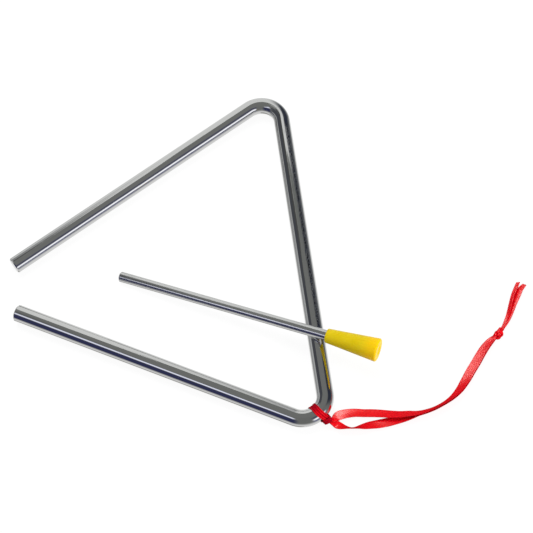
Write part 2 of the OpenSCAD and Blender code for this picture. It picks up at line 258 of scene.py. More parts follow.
# Routes from the exit, as on the drawing: along X, along Y, lift of the lowest edge,
# roll in degrees, share of the width, place in the stack
farRoute = [
    (1.7, 1.1, 2.8, -4, 0.46, 0), (3.0, 2.3, 2.0, -4, 0.8, 0), (4.9, 3.5, 1.2, -10, 0.98, 0),
    (8.0, 4.0, 0.6, -16, 1, 0), (12, 3.9, 0.2, -21, 1, 0), (16, 3.2, 0, -24, 1, 0),
    (20, 2.6, 0, -24, 1, 0), (24, 1.8, 0, -26, 1, 0), (28.2, 0.8, 0.1, -29, 1, 0),
    (32.2, -0.1, 0.2, -34, 1, 0.3), (36.2, -0.7, 0.3, -40, 1, 0.8)]
nearRoute = [
    (1.2, -0.2, 3.0, -2, 0.5, 0), (2.6, -0.9, 2.2, -8, 0.78, 0), (4.3, -1.8, 1.2, -28, 0.92, 0),
    (6.4, -2.7, 0.3, -50, 0.98, 0), (9.0, -3.5, 0, -64, 1, 0), (11.6, -3.7, 0, -60, 1, 0),
    (14.4, -3.5, 0, -43, 1, 0), (17.8, -3.1, 0, -29, 1, 0), (22, -2.9, 0, -20, 1, 0),
    (26.2, -2.6, 0, -18, 1, 0), (30.4, -2.2, 0, -22, 1, 0), (34.2, -1.9, 0, -30, 1, 0),
    (37.2, -1.6, 0, -40, 1, 0)]
sharedRoute = [
    (40.2, -1.1, 0, -48, 1, 0), (44.4, -0.7, 0, -56, 1, 0), (48.8, 0.3, 0, -61, 1, 0),
    (53.2, 2, 0, -62, 1, 0), (57.4, 4.3, 0, -57, 1, 0), (61.3, 7.6, 0, -47, 1, 0),
    (64.8, 11.8, 0, -36, 1, 0), (68.2, 16.3, 0, -31, 1, 0), (71.4, 20.2, 0, -31, 1, 0),
    (74.4, 24, 0, -34, 1, 0), (77.2, 27.2, 0.1, -36, 0.97, 0), (80, 29.8, 0.3, -33, 0.78, 0),
    (82.4, 31.6, 0.8, -24, 0.42, 0)]
nearTailRoute = [
    (86.5, 35.0, 0.8, -20, 0.30, 1), (88.6, 37.5, 0.5, -24, 0.46, 0.8), (90.7, 40.6, 0.2, -27, 0.62, 0.6),
    (92.7, 44.1, 0, -29, 0.70, 0.5), (94.8, 47.7, 0, -29, 0.72, 0.5), (97.1, 51.1, 0, -29, 0.70, 0.5),
    (99.2, 54.3, 0, -30, 0.64, 0.4), (101.8, 56.6, 0, -32, 0.46, 0.4)]
farTailRoute = [
    (86.5, 35.0, 0.8, -20, 0.30, 0), (88.3, 37.8, 0.4, -38, 0.40, 0), (90.0, 40.8, 0.1, -50, 0.47, 0),
    (91.7, 44.4, 0, -55, 0.52, 0), (93.3, 48.1, 0, -55, 0.54, 0), (95.0, 51.7, 0, -53, 0.54, 0),
    (97.0, 55.1, 0, -48, 0.52, 0), (99.0, 58.3, 0, -46, 0.45, 0)]
# The knot's turns: along the ribbon's way, to its left and up
knotKey = [
    (-0.5, 0, 0), (0.5, 0.5, 0.4), (1.15, 0.35, 0.8), (2, -0.88, -0.8), (2.75, -1.55, -0.5),
    (3.4, -1.35, 0), (3.55, -0.6, 0.5), (2.85, 0.35, 0.8), (2, 0.85, 0), (1.15, 0.35, -0.8),
    (0.5, -0.6, -0.5), (0.6, -1.35, 0), (1.3, -1.6, 0.5), (2, -0.88, 0.85), (2.85, 0.35, -0.7),
    (3.9, 0.6, -0.4), (5.5, 0.5, 0)]
exitFoot = Vector((56.0678, -88.1811, 0))      # where the routes are measured from


# Rows of a free stretch: middle, outward direction, width, thickness, share of gathering
def lie(route):
    w, th = ribbon["width"], ribbon["thick"]
    mids = [exitFoot + Vector((r[0], r[1], r[2] + w * r[4] / 2 * abs(sind(r[3])) + th / 2 * abs(cosd(r[3]))))
            for r in route]
    rows = []
    for i, r in enumerate(route):
        way = (mids[min(i + 1, len(mids) - 1)] - mids[max(i - 1, 0)]).normalized()
        left = Vector((0, 0, 1)).cross(way).normalized()
        out = way.cross(left) * cosd(r[3]) - left * sind(r[3])
        gather = progress(ribbon["openFrom"] - r[4], 0, ribbon["gatherOver"])
        rows.append((mids[i] + out * r[5] * (th + ribbon["stackGap"]), out, w * r[4],
                     th + (ribbon["gathered"] - th) * gather, gather))
    return rows


def onTop(route):
    return [r[:5] + (1,) for r in route]


# Each strand starts inside its end of the hitch, so that no break shows
def strandStart(side):
    width, thick = hitch["exitWidth"] * ribbon["startWidth"], hitch["exitThick"] * ribbon["startThick"]
    return [(*lineRow(side, 1 - inside), width, thick, 1) for inside in ribbon["startInside"]]


# A smooth curve through all the rows, with more rows between them
def smoothRows(rows, per):
    made = []
    for i in range(len(rows) - 1):
        a, b, c, d = rows[max(i - 1, 0)], rows[i], rows[i + 1], rows[min(i + 2, len(rows) - 1)]
        for k in range(per):
            t = k / per
            made.append(tuple((q * 2 + (r - p) * t + (p * 2 - q * 5 + r * 4 - s) * t * t
                               + (q * 3 - p - r * 3 + s) * t ** 3) * 0.5
                              for p, q, r, s in zip(a, b, c, d)))
    return made + [rows[-1]]


# How deep the painted shade is at a row: from one share of the way in to another, low to high
def paintedShadeAt(i, last, paintedShades):
    start, end, low, high = paintedShades
    return low + (high - low) * progress(min(i, last - i) / last * 2, start, end - start)


# One closed tube of ribbon: pleated where it is gathered, slightly hollow where it lies open, with painted
# shade in its pleat creases
def sweepRibbon(name, rows, pleats, depth, phase=0.0, paintedShades=None):
    n = ribbon["across"] + ribbon["perPleat"] * pleats
    verts, uvs, paintedFoldShades, faces = [], [], [], []
    run = 0.0
    for i, (middle, out, width, thick, gather) in enumerate(rows):
        before, after = rows[max(i - 1, 0)][0], rows[min(i + 1, len(rows) - 1)][0]
        way = (after - before).normalized()
        if i:
            run += (middle - rows[i - 1][0]).length
        out = (out - way * out.dot(way)).normalized()
        across = out.cross(way)
        gather = min(max(gather, 0), 1) ** 2
        # painted shade: a row is painted darker the further it lies from the band's ends
        paintedDeeper = paintedShadeAt(i, len(rows) - 1, paintedShades) if paintedShades else 0
        top, under = [], []
        for j in range(n + 1):
            x = j / n - 0.5
            pleatTurn = math.pi * (pleats * x + 0.5) + phase + ribbon["pleatDrift"] * run
            crease = abs(math.cos(pleatTurn)) ** ribbon["pleatSharp"]
            wave = depth * gather * (2 * crease - ribbon["pleatMiddle"])
            hollow = ribbon["cup"] * (1 - gather) * (4 * x * x - 0.5)
            edge = thick / 2 * (1 - ribbon["thinEdge"] * abs(2 * x) ** ribbon["edgeCurve"])
            # painted shade: darker in the pleat creases where the ribbon is gathered, plus the row's painted
            # depth
            paintedShade = min(gather * (1 - crease) + paintedDeeper, 1)
            top.append((x * width, hollow + wave + edge, j / n, paintedShade))
            under.append((x * width, hollow + wave * ribbon["underShare"] - edge, j / n, paintedShade))
        for x, up, u, paintedShade in top + under[::-1]:
            verts.append((middle + across * x + out * up) * mm)
            uvs.append((u * ribbon["width"] * mm, run * mm))
            paintedFoldShades.append(paintedShade)
    m = 2 * (n + 1)
    for i in range(len(rows) - 1):
        for j in range(m):
            k = (j + 1) % m
            faces.append((i * m + j, i * m + k, (i + 1) * m + k, (i + 1) * m + j))
    faces.append(tuple(range(m - 1, -1, -1)))
    faces.append(tuple((len(rows) - 1) * m + j for j in range(m)))
    mesh = bpy.data.meshes.new(name)
    mesh.from_pydata(verts, [], faces)
    layer = mesh.uv_layers.new(name="ribbonUV")
    for loop in mesh.loops:
        layer.data[loop.index].uv = uvs[loop.vertex_index]
    # painted shade of each vertex, which the satin finish reads
    paintedFoldShade = mesh.attributes.new("paintedFoldShade", "FLOAT", "POINT")
    paintedFoldShade.data.foreach_set("value", paintedFoldShades)
    mesh.validate()
    piece = bpy.data.objects.new(name, mesh)
    scene.collection.objects.link(piece)
    bpy.ops.object.select_all(action="DESELECT")
    bpy.context.view_layer.objects.active = piece
    piece.select_set(True)
    bpy.ops.object.mode_set(mode="EDIT")
    bpy.ops.mesh.select_all(action="SELECT")
    bpy.ops.mesh.normals_make_consistent(inside=False)
    bpy.ops.object.mode_set(mode="OBJECT")
    bpy.ops.object.shade_smooth_by_angle(angle=math.radians(ribbon["smoothUnder"]))
    return piece


def strandRows(side, route, tail):
    strand = strandStart(side) + lie(route)
    tailRows = lie(tail)
    through = [tuple(a * (1 - t) + b * t for a, b in zip(strand[-1], tailRows[0]))
               for t in ribbon["inKnot"]]
    return smoothRows(strand + through + tailRows, ribbon["perRow"])


farRows = strandRows(1, farRoute + onTop(sharedRoute), farTailRoute)
nearRows = strandRows(-1, nearRoute + sharedRoute, nearTailRoute)
farRibbon = sweepRibbon("far_ribbon", farRows, ribbon["pleats"], ribbon["pleatDepth"])
nearRibbon = sweepRibbon("near_ribbon", nearRows, ribbon["pleats"], ribbon["pleatDepth"], ribbon["nearPhase"])


# The band is squeezed at the exit, and wider and fuller in the bight
def hitchSection(i, count):
    k = min(i, count - 1 - i)
    atExit = max(0, 1 - k / hitch["exitRows"])
    atBight = progress(k, hitch["bightRow"], hitch["bightOver"])
    width = hitch["width"] + (hitch["exitWidth"] - hitch["width"]) * atExit
    thick = hitch["thick"] + (hitch["exitThick"] - hitch["thick"]) * atExit
    width += (hitch["bightWidth"] - hitch["width"]) * atBight
    thick += (hitch["bightThick"] - hitch["thick"]) * atBight
    return width, thick


hitchRows = halfHitch(1) + [bightRow(1, 90)] + halfHitch(-1)[::-1]
hitchRows = [(r[0], r[1], *hitchSection(i, len(hitchRows)), 1.0) for i, r in enumerate(hitchRows)]
hitchPiece = sweepRibbon("hitch_wrap", smoothRows(hitchRows, hitch["perRow"]), hitch["pleats"],
                         hitch["pleatDepth"], paintedShades=hitch["paintedShades"])

knot = {
    "width": 1.55,
    "thick": 0.86,
    "depth": 0.10,
    "pleats": 2,
    "gather": 0.62,
    "lean": 0.3,             # the wrap's face leans to the left of the ribbon's way
    "perRow": 8,
}


def knotRows():
    start = lie(nearRoute + sharedRoute)[-1][0]
    end = lie(nearTailRoute)[0][0]
    way = (end - start).normalized()
    left = Vector((0, 0, 1)).cross(way).normalized()
    top = way.cross(left)
    lift = (ribbon["thick"] + ribbon["stackGap"]) / 2
    face = (top + left * knot["lean"]).normalized()
    middles = [start + way * p[0] + left * p[1] + top * (p[2] + lift) for p in knotKey]
    rows = [(middle, face, knot["width"], knot["thick"], knot["gather"]) for middle in middles]
    return smoothRows(rows, knot["perRow"])


knotPiece = sweepRibbon("ribbon_knot_tied", knotRows(), knot["pleats"], knot["depth"])
print("ribbon laid")


def lengthOf(rows):
    return sum((b[0] - a[0]).length for a, b in zip(rows, rows[1:])) * mm


for piece in (farRibbon, nearRibbon):
    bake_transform(piece)
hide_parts("ribbon_far_strand", "ribbon_far_tail")
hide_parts("ribbon_near_strand", "ribbon_near_tail")
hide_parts("ribbon_hitch")
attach(hitchPiece, "triangle")
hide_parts("ribbon_knot")
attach(knotPiece, "ribbon_loop")
for piece, rows in ((farRibbon, farRows), (nearRibbon, nearRows)):
    print(piece.name, "length", round(lengthOf(rows), 4))


# Steel bar: half of it is modelled from the middle of the closed side and mirrored
bar = {
    "radius": 4.0 * mm,
    "around": 96,
    "bendSteps": 48,
    "legLength": 142.107 * mm,
    "chamfer": 0.5 * mm,
    "endInset": 0.15 * mm,
    "smoothUnder": 30,
}


def makeBar():
    side, y, z, r = (bend[k] * mm for k in ("sideX", "y", "z", "radius"))
    centre = Vector((side - r, y, z))
    way = Vector((-math.sin(bendTurn), math.cos(bendTurn), 0))
    bpy.ops.mesh.primitive_circle_add(vertices=bar["around"], radius=bar["radius"], fill_type="NOTHING",
                                      location=(side, 0, z), rotation=(math.pi / 2, 0, 0))
    piece = bpy.context.object
    piece.name = "steel_bar"
    bpy.ops.object.transform_apply(location=True, rotation=True, scale=True)
    bpy.ops.object.mode_set(mode="EDIT")
    bpy.ops.mesh.select_all(action="SELECT")
    bpy.ops.mesh.extrude_region_move(TRANSFORM_OT_translate={"value": (0, y, 0)})
    bpy.ops.mesh.spin(steps=bar["bendSteps"], angle=-bendTurn, center=centre, axis=(0, 0, 1))
    bpy.ops.mesh.extrude_region_move(
        TRANSFORM_OT_translate={"value": way * (bar["legLength"] - bar["chamfer"])})
    bpy.ops.mesh.extrude_region_move(TRANSFORM_OT_translate={"value": way * bar["chamfer"]})
    end = centre + Vector((math.cos(bendTurn), math.sin(bendTurn), 0)) * r + way * bar["legLength"]
    narrower = (bar["radius"] - bar["chamfer"]) / bar["radius"]
    bpy.ops.transform.resize(value=(narrower, narrower, narrower), center_override=end)
    bpy.ops.mesh.edge_face_add()
    bpy.ops.mesh.inset(thickness=bar["endInset"], depth=0)
    bpy.ops.mesh.select_all(action="SELECT")
    bpy.ops.mesh.remove_doubles(threshold=0.001 * mm)
    bpy.ops.object.mode_set(mode="OBJECT")
    flip = piece.modifiers.new("otherHalf", "MIRROR")
    flip.use_axis = (False, True, False)
    flip.use_clip = True
    flip.merge_threshold = 0.01 * mm
    bpy.ops.object.modifier_apply(modifier=flip.name)
    bpy.ops.object.mode_set(mode="EDIT")
    bpy.ops.mesh.select_all(action="SELECT")
    bpy.ops.mesh.normals_make_consistent(inside=False)
    bpy.ops.object.mode_set(mode="OBJECT")
    bpy.ops.object.shade_smooth_by_angle(angle=math.radians(bar["smoothUnder"]))
    return piece


# Along the bar and round it, for polish lines that follow the bend
def markBar(piece):
    side, y, z, r = (bend[k] * mm for k in ("sideX", "y", "z", "radius"))
    way = piece.data.attributes.new("barWay", "FLOAT_VECTOR", "POINT")
    for i, v in enumerate(piece.data.vertices):
        x, back, up = v.co.x, abs(v.co.y), v.co.z - z
        if back < y and x > side - r:
            along, off = back, x - side
        else:
            angle = math.atan2(back - y, x - side + r)
            if angle < bendTurn:
                along, off = y + angle * r, math.hypot(back - y, x - side + r) - r
            else:
                leg = Vector((math.cos(bendTurn), math.sin(bendTurn)))
                p = Vector((x - side + r, back - y))
                along = y + bendTurn * r + p.dot(Vector((-leg.y, leg.x)))
                off = p.dot(leg) - r
        around = math.atan2(up, off)
        way.data[i].vector = (math.copysign(along, v.co.y), math.cos(around), math.sin(around))


barPiece = makeBar()
markBar(barPiece)
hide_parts("triangle_bar")
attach(barPiece, "triangle")
print("bar made")


# Beater: both pieces are turned up along Z and then laid down
beater = {
    "tip": Vector((-32.7388, 0.45235, 2.45404)) * mm,
    "turn": 27.9,
    "tilt": 5.14674,
    "rodRadius": 2.5 * mm,
    "rodLength": 125 * mm,
    "rodChamfer": 0.4 * mm,
    "rodCrown": (0.01 * mm, 0.05 * mm),      # height and inset of the face at the tip
    "around": 72,
    "gripStart": 105.5 * mm,
    "gripLength": 25.5 * mm,
    "narrow": 3.4 * mm,
    "wide": 5.5 * mm,
    "taperSteps": 12,
    "rim": 0.8 * mm,
    "rimSteps": 8,
    "boreClear": 0.03 * mm,
    "boreDepth": 1.2 * mm,
    "boreTaper": 0.98,
    "boreLip": (0.25 * mm, 0.12 * mm),       # depth and width of the bore's flared edge
    "markRadius": 2.2 * mm,  # the moulding mark in the end face
    "markDepth": 0.3 * mm,
    "markEdge": 0.12 * mm,
    "markSoft": 0.3,         # drop of its outer edge, in edges
    "markDome": (0.4, 0.4),  # rise of its floor, in edges, and the share of its radius
    "rodSmooth": 30,
    "gripSmooth": 50,
}


def growRings(profile, around, name):
    z, r = profile[0]
    bpy.ops.mesh.primitive_circle_add(vertices=around, radius=r, fill_type="NGON", location=(0, 0, z))
    piece = bpy.context.object
    piece.name = name
    bpy.ops.object.transform_apply(location=True, rotation=True, scale=True)
    bpy.ops.object.mode_set(mode="EDIT")
    bpy.ops.mesh.select_all(action="SELECT")
    for z2, r2 in profile[1:]:
        bpy.ops.mesh.extrude_region_move(TRANSFORM_OT_translate={"value": (0, 0, z2 - z)})
        bpy.ops.transform.resize(value=(r2 / r, r2 / r, 1), center_override=(0, 0, z2))
        z, r = z2, r2
    bpy.ops.mesh.select_all(action="SELECT")
    bpy.ops.mesh.normals_make_consistent(inside=False)
    bpy.ops.object.mode_set(mode="OBJECT")
    return piece


def layDown(piece):
    piece.location = beater["tip"]
    piece.rotation_euler = (0, math.radians(90 - beater["tilt"]), -math.radians(beater["turn"]))
    bpy.ops.object.transform_apply(location=True, rotation=True, scale=True)


def rimArc(z, r, radius, a, b, steps):
    return [(z + radius * sind(a + (b - a) * i / steps), r + radius * cosd(a + (b - a) * i / steps))
            for i in range(steps + 1)]


def markBeater(piece):
    way = piece.data.attributes.new("barWay", "FLOAT_VECTOR", "POINT")
    for i, v in enumerate(piece.data.vertices):
        a = math.atan2(v.co.y, v.co.x)
        way.data[i].vector = (v.co.z, math.cos(a), math.sin(a))


def makeRod():
    r, c, length = beater["rodRadius"], beater["rodChamfer"], beater["rodLength"]
    lift, inset = beater["rodCrown"]
    profile = [(0, r - c - inset), (lift, r - c), (c, r), (length - c, r), (length, r - c)]
    piece = growRings(profile, beater["around"], "steel_rod")
    markBeater(piece)
    bpy.ops.object.shade_smooth_by_angle(angle=math.radians(beater["rodSmooth"]))
    layDown(piece)
    return piece


def makeGrip():
    start, length, rim = beater["gripStart"], beater["gripLength"], beater["rim"]
    narrow, wide, end = beater["narrow"], beater["wide"], start + length
    bore = beater["rodRadius"] + beater["boreClear"]
    lipDepth, lipWidth = beater["boreLip"]
    profile = [(start + beater["boreDepth"], bore * beater["boreTaper"]), (start + lipDepth, bore),
               (start, bore + lipWidth)]
    profile += rimArc(start + rim, narrow - rim, rim, -90, 0, beater["rimSteps"])
    steps = beater["taperSteps"]
    profile += [(start + rim + (length - 2 * rim) * i / steps, narrow + (wide - narrow) * i / steps)
                for i in range(1, steps)]
    profile += rimArc(end - rim, wide - rim, rim, 0, 90, beater["rimSteps"])
    mark, edge, floor = beater["markRadius"], beater["markEdge"], end - beater["markDepth"]
    rise, share = beater["markDome"]
    profile += [(end, mark + 2 * edge), (end - edge * beater["markSoft"], mark + edge), (floor + edge, mark),
                (floor, mark - edge), (floor + edge * rise, mark * share)]
    piece = growRings(profile, beater["around"], "moulded_grip")
    bpy.ops.object.shade_smooth_by_angle(angle=math.radians(beater["gripSmooth"]))
    layDown(piece)
    return piece


rodPiece = makeRod()
gripPiece = makeGrip()
for piece, node, slot in ((rodPiece, "beater_rod", "rod_chrome"), (gripPiece, "beater_grip", "grip_plastic")):
    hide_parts(node)
    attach(piece, "beater")
print("beater made")


# Finishes: a noise is its scale, detail and roughness; a range is from, to and the values there
def newMaterial(name):
    material = bpy.data.materials.new(name)
    material.use_nodes = True
    return material, material.node_tree.nodes, material.node_tree.links


def addMath(nodes, links, operation, first, second=None, third=None):
    node = nodes.new("ShaderNodeMath")
    node.operation = operation
    for socket, value in zip(node.inputs, (first, second, third)):
        if isinstance(value, bpy.types.NodeSocket):
            links.new(value, socket)
        elif value is not None:
            socket.default_value = value
    return node.outputs[0]


def addNoise(nodes, links, coords, scale, detail, roughness):
    node = nodes.new("ShaderNodeTexNoise")
    node.inputs["Scale"].default_value = scale
    node.inputs["Detail"].default_value = detail
    node.inputs["Roughness"].default_value = roughness
    links.new(coords, node.inputs["Vector"])
    return node.outputs["Fac"]


def mapRange(nodes, links, value, a, b, low, high, smooth=False):
    node = nodes.new("ShaderNodeMapRange")
    node.interpolation_type = "SMOOTHSTEP" if smooth else "LINEAR"
    links.new(value, node.inputs["Value"])
    for name, number in (("From Min", a), ("From Max", b), ("To Min", low), ("To Max", high)):
        node.inputs[name].default_value = number
    return node.outputs["Result"]


def mixColours(nodes, links, share, first, second):
    node = nodes.new("ShaderNodeMix")
    node.data_type = "RGBA"
    links.new(share, node.inputs["Factor"])
    for socket, value in ((node.inputs["A"], first), (node.inputs["B"], second)):
        socket = [s for s in node.inputs if s.name == socket.name and s.type == "RGBA"][0]
        if isinstance(value, bpy.types.NodeSocket):
            links.new(value, socket)
        else:
            socket.default_value = (*value, 1)
    return [s for s in node.outputs if s.type == "RGBA"][0]


# Marks with soft edges, cut out of a noise
def addMarks(nodes, links, coords, noise, reach):
    return mapRange(nodes, links, addNoise(nodes, links, coords, *noise), *reach, True)


def awayFrom(nodes, links, value, middle):
    return addMath(nodes, links, "ABSOLUTE", addMath(nodes, links, "SUBTRACT", value, middle))


def stretch(nodes, links, coords, scale):
    node = nodes.new("ShaderNodeMapping")
    links.new(coords, node.inputs["Vector"])
    node.inputs["Scale"].default_value = scale
    return node.outputs["Vector"]


def addBump(nodes, links, height, strength, distance):
    node = nodes.new("ShaderNodeBump")
    node.inputs["Strength"].default_value = strength
    node.inputs["Distance"].default_value = distance
    links.new(height, node.inputs["Height"])
    return node.outputs["Normal"]


chrome = {
    "colour": (0.66, 0.66, 0.655),
    "dull": (0.46, 0.45, 0.44),
    "polish": 0.045,
    "rodPolish": 0.13,
    "handled": 0.16,
    "smudges": (95, 4, 0.6),
    "smudgeRange": (0.5, 0.75, 0, 1),
    "lines": (1.0, 4, 0.6),
    "lineWay": 60,           # changes of the polish lines along the bar, then round bar and rod
    "barLines": 14,
    "rodLines": 9,
    "lineRough": 0.05,
    "specks": (2600, 2, 0.5),
    "speckRange": (0.66, 0.74, 0, 1),
    "speckShare": 0.6,
    "swells": (70, 2, 0.4),
    "swellShare": 6.0,
    "wobble": 0.05,
    "wobbleDepth": 0.0001,
    "pittedX": 0.0576,       # the plating is pitted in one line along the closed side
    "pittedY": 0.0145,
    "pittedHalf": 0.0515,
    "pittedEnd": 0.008,
    "pittedRange": (0.0004, 0.0009, 1, 0),
    "pittedBump": 0.7,
    "pittedDepth": 0.00009,
    "grains": (1350, 2, 0.5),
    "grainRange": (0.44, 0.54, 0, 1),
    "eaten": (0.03, 0.03, 0.045),
    "eatenShare": 0.85,
}


# Where the plating is eaten through, from 0 to 1
def pittedLine(nodes, links, place):
    split = nodes.new("ShaderNodeSeparateXYZ")
    links.new(place, split.inputs["Vector"])
    aside = awayFrom(nodes, links, split.outputs["X"], chrome["pittedX"])
    along = awayFrom(nodes, links, split.outputs["Y"], chrome["pittedY"])
    reach = chrome["pittedHalf"]
    across = mapRange(nodes, links, aside, *chrome["pittedRange"], True)
    within = mapRange(nodes, links, along, reach, reach + chrome["pittedEnd"], 1, 0, True)
    grains = addMarks(nodes, links, place, chrome["grains"], chrome["grainRange"])
    return addMath(nodes, links, "MULTIPLY", addMath(nodes, links, "MULTIPLY", across, within), grains)


def chromeFinish(name, drawn, polish):
    material, nodes, links = newMaterial(name)
    shader = nodes["Principled BSDF"]
    shader.inputs["Metallic"].default_value = 1
    way = nodes.new("ShaderNodeAttribute")
    way.attribute_name = "barWay"
    place = nodes.new("ShaderNodeTexCoord").outputs["Object"]
    drawnWay = stretch(nodes, links, way.outputs["Vector"], (chrome["lineWay"], drawn, drawn))
    lines = addNoise(nodes, links, drawnWay, *chrome["lines"])
    smudge = addMarks(nodes, links, place, chrome["smudges"], chrome["smudgeRange"])
    speck = addMarks(nodes, links, place, chrome["specks"], chrome["speckRange"])
    eaten = pittedLine(nodes, links, place)
    rough = addMath(nodes, links, "MULTIPLY_ADD", smudge, chrome["handled"] - chrome["polish"], polish)
    rough = addMath(nodes, links, "MULTIPLY_ADD", lines, chrome["lineRough"], rough)
    links.new(rough, shader.inputs["Roughness"])
    dull = addMath(nodes, links, "MULTIPLY", speck, chrome["speckShare"])
    colour = mixColours(nodes, links, dull, chrome["colour"], chrome["dull"])
    dark = addMath(nodes, links, "MULTIPLY", eaten, chrome["eatenShare"])
    links.new(mixColours(nodes, links, dark, colour, chrome["eaten"]), shader.inputs["Base Color"])
    swell = addNoise(nodes, links, place, *chrome["swells"])
    height = addMath(nodes, links, "MULTIPLY_ADD", swell, chrome["swellShare"], lines)
    height = addMath(nodes, links, "MULTIPLY_ADD", speck, -chrome["speckShare"], height)
    pitBump = addBump(nodes, links, eaten, chrome["pittedBump"], chrome["pittedDepth"])
    wave = addBump(nodes, links, height, chrome["wobble"], chrome["wobbleDepth"])
    links.new(pitBump, wave.node.inputs["Normal"])
    links.new(wave, shader.inputs["Normal"])
    return material


grip = {
    "colour": (0.74, 0.55, 0.002),
    "deep": (0.60, 0.42, 0.002),
    "pale": (0.82, 0.64, 0.012),
    "clouds": (160, 3, 0.55),
    "cloudRange": (0.35, 0.7, 0, 0.5),
    "scuffs": (900, 5, 0.7),
    "scuffRange": (0.62, 0.7, 0, 0.10),
    # painted glow: a brighter, more orange colour standing in for light shining through the thick rim
    "rim": (0.93, 0.60, 0.001),
    "axis": (0.880202, -0.466043, 0.089707),
    "rimGlowRange": (0.0932, 0.0997, 0, 1),      # painted glow: along the axis, the rim before the end is painted brighter and more orange, for light through the thick plastic
    "roughRange": (0.3, 0.7, 0.24, 0.4),
    "shine": 0.15,
    "soak": 0.12,            # light that passes a little way into the plastic
    "soakReach": (0.004, 0.002, 0.0006),
    "soakScale": 0.5,
    "grain": (3800, 3, 0.6),
    "grainBump": 0.12,
    "grainDepth": 0.00008,
}


def gripFinish():
    material, nodes, links = newMaterial("yellow moulding")
    shader = nodes["Principled BSDF"]
    place = nodes.new("ShaderNodeTexCoord").outputs["Object"]
    cloud = addNoise(nodes, links, place, *grip["clouds"])
    paler = mapRange(nodes, links, cloud, *grip["cloudRange"])
    colour = mixColours(nodes, links, paler, grip["colour"], grip["pale"])
    along = nodes.new("ShaderNodeVectorMath")
    along.operation = "DOT_PRODUCT"
    links.new(place, along.inputs[0])
    along.inputs[1].default_value = grip["axis"]
    # painted glow towards the end of the grip
    rim = mapRange(nodes, links, along.outputs["Value"], *grip["rimGlowRange"], True)
    colour = mixColours(nodes, links, rim, colour, grip["rim"])
    scuff = addMarks(nodes, links, place, grip["scuffs"], grip["scuffRange"])
    links.new(mixColours(nodes, links, scuff, colour, grip["deep"]), shader.inputs["Base Color"])
    links.new(mapRange(nodes, links, cloud, *grip["roughRange"]), shader.inputs["Roughness"])
    shader.inputs["Subsurface Weight"].default_value = grip["soak"]
    shader.inputs["Subsurface Radius"].default_value = grip["soakReach"]
    shader.inputs["Subsurface Scale"].default_value = grip["soakScale"]
    shader.inputs["Specular IOR Level"].default_value = grip["shine"]
    grain = addNoise(nodes, links, place, *grip["grain"])
    links.new(addBump(nodes, links, grain, grip["grainBump"], grip["grainDepth"]), shader.inputs["Normal"])
    return material


satin = {
    "red": (0.77, 0.003, 0.010),
    "lit": (0.86, 0.012, 0.016),
    # painted shade: the colour of the painted creases and of the hitch's far side, also of the darker clouds
    # and selvedge
    "deep": (0.34, 0.0, 0.010),
    "ribPitch": 0.00030,
    "warpPitch": 0.00022,
    "weaveHeight": 0.35,
    "threads": (1.0, 3, 0.6),
    "threadStretch": (4200, 260, 1),
    "litRange": (0.45, 0.75, 0, 0.55),
    "roughRange": (0.3, 0.7, 0.22, 0.30),
    "selvedge": 0.00028,
    "selvedgeSharp": 0.6,
    "selvedgeDark": 0.35,
    "selvedgeHeight": 0.8,
    "clouds": (420, 3, 0.6),
    "cloudRange": (0.6, 0.8, 0, 0.5),
    "paintedCreaseShadeRange": (0.25, 0.8, 0, 0.9),
    "shine": 0.08,
    "sheen": 0.02,
    "sheenRough": 0.3,
    "sheenTint": (1.0, 0.45, 0.42, 1),
    "bump": 0.15,
    "bumpDepth": 0.00006,
}


def satinFinish():
    material, nodes, links = newMaterial("red satin")
    shader = nodes["Principled BSDF"]
    uv = nodes.new("ShaderNodeUVMap")
    uv.uv_map = "ribbonUV"
    split = nodes.new("ShaderNodeSeparateXYZ")
    links.new(uv.outputs["UV"], split.inputs["Vector"])
    u, v = split.outputs["X"], split.outputs["Y"]
    place = nodes.new("ShaderNodeTexCoord").outputs["Object"]
    weft, warp = (addMath(nodes, links, "SINE", addMath(nodes, links, "MULTIPLY", value, 2 * math.pi / pitch))
                  for value, pitch in ((v, satin["ribPitch"]), (u, satin["warpPitch"])))
    weave = addMath(nodes, links, "MULTIPLY", weft, warp)
    threadWay = stretch(nodes, links, uv.outputs["UV"], satin["threadStretch"])
    threads = addNoise(nodes, links, threadWay, *satin["threads"])
    middle, selvedge = ribbon["width"] / 2 * mm, satin["selvedge"]
    edge = mapRange(nodes, links, awayFrom(nodes, links, u, middle), middle - selvedge,
                    middle - selvedge * satin["selvedgeSharp"], 0, 1, True)
    lit = mapRange(nodes, links, threads, *satin["litRange"])
    colour = mixColours(nodes, links, lit, satin["red"], satin["lit"])
    # painted shade: how much darker the satin is painted in creases and on the hitch's far side
    paintedFoldShade = nodes.new("ShaderNodeAttribute")
    paintedFoldShade.attribute_name = "paintedFoldShade"
    crease = mapRange(nodes, links, paintedFoldShade.outputs["Fac"], *satin["paintedCreaseShadeRange"], True)
    cloud = mapRange(nodes, links, addNoise(nodes, links, place, *satin["clouds"]), *satin["cloudRange"])
    worn = addMath(nodes, links, "MULTIPLY", edge, satin["selvedgeDark"])
    # the darker share mixes painted shade in creases with darker clouds and selvedge
    dark = addMath(nodes, links, "MAXIMUM", addMath(nodes, links, "MAXIMUM", cloud, worn), crease)
    links.new(mixColours(nodes, links, dark, colour, satin["deep"]), shader.inputs["Base Color"])
    links.new(mapRange(nodes, links, threads, *satin["roughRange"]), shader.inputs["Roughness"])
    shader.inputs["Specular IOR Level"].default_value = satin["shine"]
    shader.inputs["Sheen Weight"].default_value = satin["sheen"]
    shader.inputs["Sheen Roughness"].default_value = satin["sheenRough"]
    shader.inputs["Sheen Tint"].default_value = satin["sheenTint"]
    height = addMath(nodes, links, "MULTIPLY_ADD", weave, satin["weaveHeight"], threads)
    height = addMath(nodes, links, "MULTIPLY_ADD", edge, satin["selvedgeHeight"], height)
    links.new(addBump(nodes, links, height, satin["bump"], satin["bumpDepth"]), shader.inputs["Normal"])
    return material


